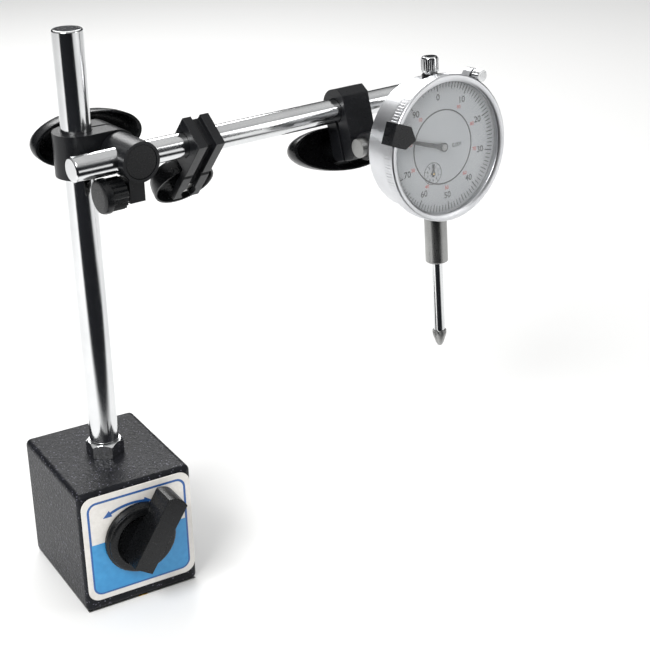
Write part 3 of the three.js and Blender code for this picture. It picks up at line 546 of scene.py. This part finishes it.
def wing_knob(name, node, place, half_long, half_short, depth, rim, hub_r):
    """The open side looks along +Z of place, and the face of the hub is at its origin."""
    back = -rim - depth
    outer = [(0, back), (0.5, back + 0.005 * depth), (0.76, back + 0.03 * depth), (0.88, back + 0.11 * depth),
             (0.95, back + 0.28 * depth), (0.985, back + 0.55 * depth), (1.0, -rim - 0.06 * depth)]
    inner = [(0.99, -rim), (0.935, -rim), (0.915, -rim - 0.06 * depth), (0.87, -rim - 0.5 * depth),
             (0.8, -rim - 0.7 * depth), (0.62, -rim - 0.8 * depth), (0, -rim - 0.83 * depth)]
    bowl = spun(outer + inner, 96)
    start_edit(bowl)
    bpy.ops.transform.resize(value=(half_long, half_short, 1), center_override=(0, 0, 0))
    end_edit()
    settle(bowl, name + "_bowl", place, node, moulded_black, [node], 50)
    floor_z = -rim - 0.88 * depth
    hub_profile = [(HUB_BORE_R, floor_z), (hub_r + 0.6, floor_z), (hub_r, floor_z + 1.5), (hub_r, 0),
                   (HUB_BORE_R, 0), (HUB_BORE_R, floor_z)]
    settle(spun(rounded(hub_profile, 0.4), 48), name + "_hub", place, node, moulded_black)


HOLDER_WING_ROLL = math.radians(8)
post_wing_at = ARM @ Matrix.Translation((12.2, 9.8, 0)) @ FRONT
holder_wing_at = HOLDER @ Matrix.Translation((0, 7.8, HOLDER_SCREW_Z))
holder_wing_at = holder_wing_at @ Matrix.Rotation(HOLDER_WING_ROLL, 4, "Y") @ FRONT
spare_wing_at = SPARE @ Matrix.Translation((0, -5.2, -22.5)) @ FRONT
wing_knob("post_wing", "post_wing_knob", post_wing_at, 24, 11, 10, 3.2, 5.5)
wing_knob("holder_wing", "holder_wing_knob", holder_wing_at, 24.5, 9.5, 10, 1.6, 5.5)
wing_knob("spare_wing", "spare_wing_knob", spare_wing_at, 13.2, 12, 8.5, 0.3, 5)
print("three oval grips")

# %% [markdown]
# ## Knurling
# Fingers turn the bezel, the lifting cap and the small clamp screw, so they are knurled: a roller presses
# fine ridges into the metal. A circle with every other point drawn in, raised into a band, gives them.

# %% Knurled bands on the indicator
BACKWARDS = Matrix.Rotation(-math.pi / 2, 4, "X")
CAP = DIAL @ Matrix.Translation((0, 10.9, 0))
SCREW_AT = 32.9
screw_turn = math.radians(38)
SCREW = DIAL @ Matrix.Translation((SCREW_AT * math.sin(screw_turn), 0, SCREW_AT * math.cos(screw_turn)))
settle(knurled_band(150, 30.04, 29.72, 1.4, 4.9), "bezel_knurl", DIAL @ BACKWARDS, "bezel", anodised, (), 10)
settle(knurled_band(30, 3.56, 3.3, 30.9, 35.3, 0.3), "cap_knurl", CAP, "lifting_cap", chrome, (), 10)
screw_knurl = knurled_band(24, 2.56, 2.34, 2.6, 5.8, 0.3)
settle(screw_knurl, "bezel_screw_knurl", SCREW @ BACKWARDS, "bezel_screw", chrome, (), 10)
point_knurl = knurled_band(26, 2.96, 2.78, -82.4, -81.1, 0.3)
settle(point_knurl, "point_knurl", CAP, "contact_point", turned_steel, (), 10)
collar = spun(rounded([(2.9, 27.6), (3.4, 27.6), (3.4, 29.2), (2.9, 29.2), (2.9, 27.6)], 0.15), 48)
settle(collar, "cap_collar", CAP, "case", moulded_black)
print("four knurled bands and a collar")

# %% [markdown]
# ## The dial
# The outer ring turns with the bezel and carries a hundred ticks and two rows of numbers: black ones run
# clockwise and small red ones run the other way. One tick is drawn and then spun round
# as separate copies. The inner disc stays still and holds the small turn counter.

# %% Ticks
DIAL_FACE = 4.6
SHEET = 0.06
ZERO_TURN = math.radians(-4.5)


def spun_marks(count, inner, outer, width, height, centre=(0, 0)):
    """count flat bars from inner to outer radius, in the plane of the dial, seen from the front."""
    bpy.ops.object.select_all(action="DESELECT")
    bpy.ops.mesh.primitive_cube_add(size=1, location=(0, 0, 0))
    piece = bpy.context.object
    start_edit(piece)
    bpy.ops.transform.resize(value=(width, SHEET, outer - inner), center_override=(0, 0, 0))
    bpy.ops.transform.translate(value=(0, height, (outer + inner) / 2))
    bpy.ops.mesh.spin(steps=count, dupli=True, angle=2 * math.pi, center=(0, 0, 0), axis=(0, 1, 0))
    bpy.ops.mesh.select_all(action="SELECT")
    bpy.ops.mesh.remove_doubles(threshold=1e-4)
    bpy.ops.transform.translate(value=(centre[0], 0, centre[1]))
    end_edit()
    return piece


ZERO = DIAL @ Matrix.Rotation(ZERO_TURN, 4, "Y")
ink_y = DIAL_FACE - SHEET / 2 - 0.01
settle(spun_marks(100, 24.3, 26.8, 0.3, ink_y), "fine_ticks", ZERO, "outer_dial", ink_black)
settle(spun_marks(20, 23.7, 26.8, 0.34, ink_y - 0.02), "five_ticks", ZERO, "outer_dial", ink_black)
settle(spun_marks(10, 23.2, 26.8, 0.42, ink_y - 0.04), "ten_ticks", ZERO, "outer_dial", ink_black)
COUNTER = (-5.75, -9.95)
settle(spun_marks(10, 3.7, 4.5, 0.2, ink_y, COUNTER), "counter_ticks", DIAL, "inner_dial", ink_black)
print("ticks on the outer ring and on the counter")


# %% Numbers
def lettering(words, size, spots, name, place, node, material):
    """Flat words centred on (x, z) spots in the plane of the dial, joined into one mesh."""
    made = []
    for word, (x, z) in zip(words, spots):
        bpy.ops.object.select_all(action="DESELECT")
        bpy.ops.object.text_add(location=(x, DIAL_FACE - 0.03, z), rotation=(math.pi / 2, 0, 0))
        text = bpy.context.object
        text.data.body = word
        text.data.size = size
        text.data.align_x = "CENTER"
        text.data.align_y = "CENTER"
        text.data.offset = 0.02 * size
        bpy.ops.object.convert(target="MESH")
        made.append(bpy.context.object)
    bpy.ops.object.select_all(action="DESELECT")
    for piece in made:
        piece.select_set(True)
    bpy.context.view_layer.objects.active = made[0]
    bpy.ops.object.join()
    joined = bpy.context.object
    bpy.ops.object.transform_apply(location=True, rotation=True, scale=True)
    return settle(joined, name, place, node, material)


def round_dial(count, radius, start=0.0, centre=(0, 0)):
    """count spots round a circle, clockwise from the top."""
    angles = [start + i * 2 * math.pi / count for i in range(count)]
    return [(centre[0] + radius * math.sin(a), centre[1] + radius * math.cos(a)) for a in angles]


tens = [str(10 * i) for i in range(10)]
backwards = [str(100 - 10 * i) for i in range(1, 10)]
lettering(tens, 3.6, round_dial(10, 20.6, ZERO_TURN), "black_numbers", DIAL, "outer_dial", ink_black)
red_spots = round_dial(10, 17.35, ZERO_TURN)[1:]
lettering(backwards, 2.1, red_spots, "red_numbers", DIAL, "outer_dial", ink_red)
counts = [str(i) for i in range(10)]
lettering(counts, 1.5, round_dial(10, 2.9, 0, COUNTER), "counter_numbers", DIAL, "inner_dial", ink_black)
lettering(["0.001"], 2.4, [(7.6, -0.4)], "graduation", DIAL, "inner_dial", ink_black)

# %% Rings and hub of the dial
thin_ring = spun([(4.4, 0), (4.65, 0), (4.65, SHEET), (4.4, SHEET), (4.4, 0)], 64)
counter_at = DIAL @ Matrix.Translation((COUNTER[0], ink_y, COUNTER[1])) @ BACKWARDS
settle(thin_ring, "counter_ring", counter_at, "inner_dial", ink_black)
# A black ring over the gap between the turning ring and the still disc: painted shade of the gap.
gap_shade_ring = spun([(14.9, 0), (15.5, 0), (15.5, SHEET), (14.9, SHEET), (14.9, 0)], 96)
gap_shade_at = DIAL @ Matrix.Translation((0, ink_y + 0.02, 0)) @ BACKWARDS
settle(gap_shade_ring, "dial_gap_painted_shade", gap_shade_at, "inner_dial", ink_black)
hub = spun(rounded([(0, 3.25), (1.2, 3.25), (1.2, 3.43), (0, 3.43)], 0.08), 40)
settle(hub, "hand_hub", DIAL @ BACKWARDS, "main_hand", turned_steel)
print("dial drawn")

# %% [markdown]
# ## The label
# The front label is a sheet of varnished film with a navy outline, a cyan panel along its lower half and
# an arc with two arrowheads that shows which way the switch turns. Each colour is a thin layer of
# ink on the film, a little in front of the one below it. The arc is a short bar spun about a point under
# the switch's axis, so that it lies flatter than the knob's edge.

# %% Printed layers
LABEL_FRONT = -30.6


def ink_panel(half_w, low, high, corner, name, material, layer, upper_square=False):
    """A flat panel with rounded corners on the front of the label."""
    bpy.ops.object.select_all(action="DESELECT")
    bpy.ops.mesh.primitive_plane_add(size=2)
    piece = bpy.context.object
    start_edit(piece)
    bpy.ops.transform.resize(value=(half_w, (high - low) / 2, 1), center_override=(0, 0, 0))
    bpy.ops.mesh.select_all(action="DESELECT")
    end_edit()
    for point in piece.data.vertices:
        point.select = not (upper_square and point.co.y > 0)
    for edge in piece.data.edges:
        edge.select = False
    only(piece)
    bpy.ops.object.mode_set(mode="EDIT")
    bpy.ops.mesh.bevel(offset=corner, segments=8, affect="VERTICES")
    end_edit()
    place = BASE @ Matrix.Translation((0, LABEL_FRONT - layer, (low + high) / 2)) @ FRONT
    return settle(piece, name, place, "label_plate", material)


ink_panel(21.8, 7.6, 50.8, 4.2, "label_outline", ink_navy, 0.02)
ink_panel(20.8, 8.6, 49.8, 3.2, "label_inner", film_white, 0.04)
ink_panel(21.0, 8.4, 31.6, 3.4, "label_lower", ink_cyan, 0.06, upper_square=True)


def arc_bar(width, start, end, name):
    """A curved bar of ink; angles run clockwise from the top."""
    bpy.ops.object.select_all(action="DESELECT")
    bpy.ops.mesh.primitive_plane_add(size=1)
    piece = bpy.context.object
    start_edit(piece)
    bpy.ops.mesh.merge(type="CENTER")
    bpy.ops.transform.translate(value=(0, 0, ARC_R - width / 2))
    bpy.ops.mesh.extrude_region_move(TRANSFORM_OT_translate={"value": (0, 0, width)})
    bpy.ops.mesh.select_all(action="SELECT")
    bpy.ops.mesh.spin(steps=24, angle=start - end, center=(0, 0, 0), axis=(0, 1, 0))
    end_edit()
    place = BASE @ Matrix.Translation((ARC_X, LABEL_FRONT - 0.09, ARC_Z)) @ Matrix.Rotation(start, 4, "Y")
    return settle(piece, name, place, "label_plate", ink_navy)


def arrowhead(angle, turn, name):
    """A triangle of ink on the arc, at an angle clockwise from the top."""
    bpy.ops.object.select_all(action="DESELECT")
    bpy.ops.mesh.primitive_circle_add(vertices=3, radius=2.3, fill_type="NGON")
    piece = bpy.context.object
    start_edit(piece)
    bpy.ops.transform.resize(value=(0.8, 1.1, 1), center_override=(0, 0, 0))
    end_edit()
    spot = (ARC_X + ARC_R * math.sin(angle), LABEL_FRONT - 0.12, ARC_Z + ARC_R * math.cos(angle))
    place = BASE @ Matrix.Translation(spot) @ Matrix.Rotation(turn, 4, "Y") @ FRONT
    return settle(piece, name, place, "label_plate", ink_navy)


ARC_X = -2
ARC_Z = 20.5
ARC_R = 25.5
ARC_FROM = math.radians(-23)
ARC_TO = math.radians(12)
arc_bar(1.2, ARC_FROM, ARC_TO, "switch_arc")
arrowhead(ARC_FROM - 0.04, ARC_FROM - math.pi / 2, "arrow_left")
arrowhead(ARC_TO + 0.04, ARC_TO + math.pi / 2, "arrow_right")

# %% [markdown]
# ## Finish
# The last cell sets the Standard view transform.

# %% Finish
bpy.context.scene.view_settings.view_transform = "Standard"
